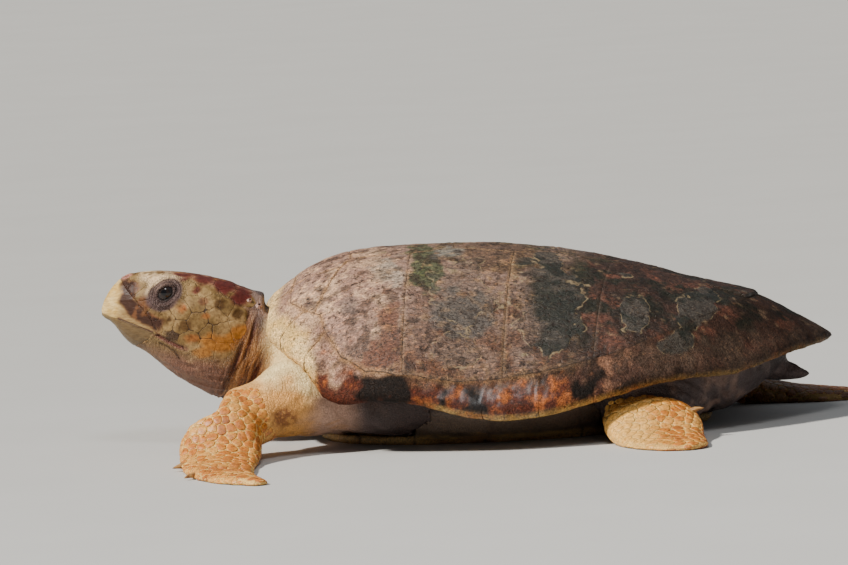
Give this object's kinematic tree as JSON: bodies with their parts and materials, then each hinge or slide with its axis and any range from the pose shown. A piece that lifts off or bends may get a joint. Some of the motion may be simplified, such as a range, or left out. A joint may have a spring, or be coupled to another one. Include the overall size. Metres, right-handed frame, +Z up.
{
  "type": "loggerhead turtle",
  "caption": "Life-size still model of an adult loggerhead sea turtle resting on its belly, head raised, flippers spread on the floor.",
  "frame": {"origin": "on the flat underside of the plastron, in the shell's plane of symmetry, half way along the carapace", "axes": "+Z up out of the carapace, -X towards the head, -Y to the turtle's left side"},
  "size_m": [1.2874, 1.1493, 0.3113],
  "materials": {
    "carapace_horn": "rough horn, slightly wet",
    "rim_horn": "wet horn",
    "plastron_horn": "smooth horn",
    "beak_horn": "smooth horn",
    "claw_horn": "smooth horn",
    "eye": "wet and clear",
    "head_skin": "scaled skin",
    "body_skin": "soft wrinkled skin",
    "limb_skin": "scaled skin, wet"
  },
  "bodies": {
    "root": {"beak_lower": "beak_horn", "beak_upper": "beak_horn", "claw_front_left_1": "claw_horn", "claw_front_left_2": "claw_horn", "claw_front_right_1": "claw_horn", "claw_front_right_2": "claw_horn", "claw_hind_left": "claw_horn", "claw_hind_right": "claw_horn", "costal_shield_left_1": "carapace_horn", "costal_shield_left_2": "carapace_horn", "costal_shield_left_3": "carapace_horn", "costal_shield_left_4": "carapace_horn", "costal_shield_left_5": "carapace_horn", "costal_shield_right_1": "carapace_horn", "costal_shield_right_2": "carapace_horn", "costal_shield_right_3": "carapace_horn", "costal_shield_right_4": "carapace_horn", "costal_shield_right_5": "carapace_horn", "eye_left": "eye", "eye_right": "eye", "front_flipper_left": "limb_skin", "front_flipper_right": "limb_skin", "head": "head_skin", "hind_flipper_left": "limb_skin", "hind_flipper_right": "limb_skin", "marginal_shield_left_1": "rim_horn", "marginal_shield_left_10": "rim_horn", "marginal_shield_left_11": "rim_horn", "marginal_shield_left_12": "rim_horn", "marginal_shield_left_2": "rim_horn", "marginal_shield_left_3": "rim_horn", "marginal_shield_left_4": "rim_horn", "marginal_shield_left_5": "rim_horn", "marginal_shield_left_6": "rim_horn", "marginal_shield_left_7": "rim_horn", "marginal_shield_left_8": "rim_horn", "marginal_shield_left_9": "rim_horn", "marginal_shield_right_1": "rim_horn", "marginal_shield_right_10": "rim_horn", "marginal_shield_right_11": "rim_horn", "marginal_shield_right_12": "rim_horn", "marginal_shield_right_2": "rim_horn", "marginal_shield_right_3": "rim_horn", "marginal_shield_right_4": "rim_horn", "marginal_shield_right_5": "rim_horn", "marginal_shield_right_6": "rim_horn", "marginal_shield_right_7": "rim_horn", "marginal_shield_right_8": "rim_horn", "marginal_shield_right_9": "rim_horn", "neck": "body_skin", "nuchal_shield": "carapace_horn", "plastron": "plastron_horn", "tail": "body_skin", "trunk": "body_skin", "vertebral_shield_1": "carapace_horn", "vertebral_shield_2": "carapace_horn", "vertebral_shield_3": "carapace_horn", "vertebral_shield_4": "carapace_horn", "vertebral_shield_5": "carapace_horn"}
  },
  "joints": []
}
